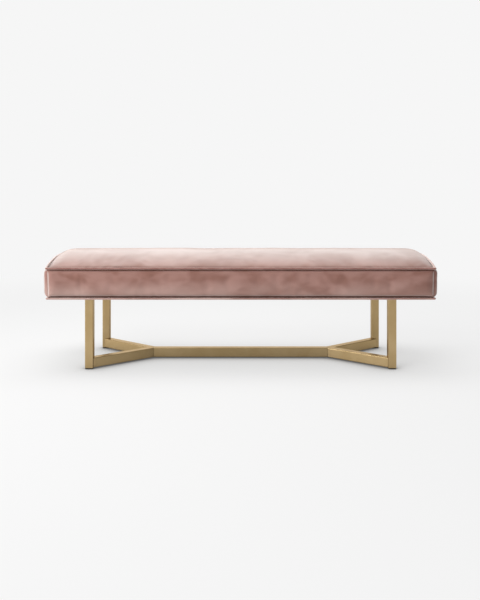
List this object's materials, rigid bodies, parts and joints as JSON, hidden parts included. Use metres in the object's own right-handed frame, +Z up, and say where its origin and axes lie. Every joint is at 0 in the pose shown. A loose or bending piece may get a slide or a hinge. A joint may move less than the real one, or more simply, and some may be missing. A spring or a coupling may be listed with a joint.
{
  "type": "upholstered bench",
  "caption": "Long backless bench: a crowned, piped velvet seat on square metal posts, joined at floor level by diagonal arms and a central stretcher.",
  "frame": {"origin": "centre of the bench's plan, on the floor under the glides", "axes": "+X along the bench to the right as seen from the front, +Y to the rear, +Z up"},
  "size_m": [1.537, 0.4848, 0.456],
  "materials": {
    "brass_tube": "satin champagne brass finish",
    "velvet": "dusty pink velvet with a short crushed pile",
    "velvet_piping": "velvet bias strip over cord",
    "black_plastic": "matt moulded glide",
    "zinc_screw": "zinc plated",
    "softwood": "planed softwood",
    "plywood": "sanded plywood",
    "foam": "open-cell upholstery foam",
    "polyester_wadding": "white fibre wrap",
    "dust_cloth": "pale non-woven cloth"
  },
  "bodies": {
    "root": {"bottom_piping": "velvet_piping", "cross_rail_1": "softwood", "cross_rail_2": "softwood", "cross_rail_3": "softwood", "dust_cover": "dust_cloth", "foam_core": "foam", "front_boxing": "velvet", "front_left_arm": "brass_tube", "front_left_corner_block": "softwood", "front_left_glide": "black_plastic", "front_left_mounting_plate": "brass_tube", "front_left_plate_screw_1": "zinc_screw", "front_left_plate_screw_2": "zinc_screw", "front_left_plate_screw_3": "zinc_screw", "front_left_plate_screw_4": "zinc_screw", "front_left_post": "brass_tube", "front_rail": "softwood", "front_right_arm": "brass_tube", "front_right_corner_block": "softwood", "front_right_glide": "black_plastic", "front_right_mounting_plate": "brass_tube", "front_right_plate_screw_1": "zinc_screw", "front_right_plate_screw_2": "zinc_screw", "front_right_plate_screw_3": "zinc_screw", "front_right_plate_screw_4": "zinc_screw", "front_right_post": "brass_tube", "left_boxing": "velvet", "left_end_rail": "softwood", "left_leg_board": "softwood", "plywood_deck": "plywood", "rear_boxing": "velvet", "rear_left_arm": "brass_tube", "rear_left_corner_block": "softwood", "rear_left_glide": "black_plastic", "rear_left_mounting_plate": "brass_tube", "rear_left_plate_screw_1": "zinc_screw", "rear_left_plate_screw_2": "zinc_screw", "rear_left_plate_screw_3": "zinc_screw", "rear_left_plate_screw_4": "zinc_screw", "rear_left_post": "brass_tube", "rear_rail": "softwood", "rear_right_arm": "brass_tube", "rear_right_corner_block": "softwood", "rear_right_glide": "black_plastic", "rear_right_mounting_plate": "brass_tube", "rear_right_plate_screw_1": "zinc_screw", "rear_right_plate_screw_2": "zinc_screw", "rear_right_plate_screw_3": "zinc_screw", "rear_right_plate_screw_4": "zinc_screw", "rear_right_post": "brass_tube", "right_boxing": "velvet", "right_end_rail": "softwood", "right_leg_board": "softwood", "stretcher": "brass_tube", "top_panel": "velvet", "top_piping": "velvet_piping", "wadding": "polyester_wadding"}
  },
  "joints": []
}
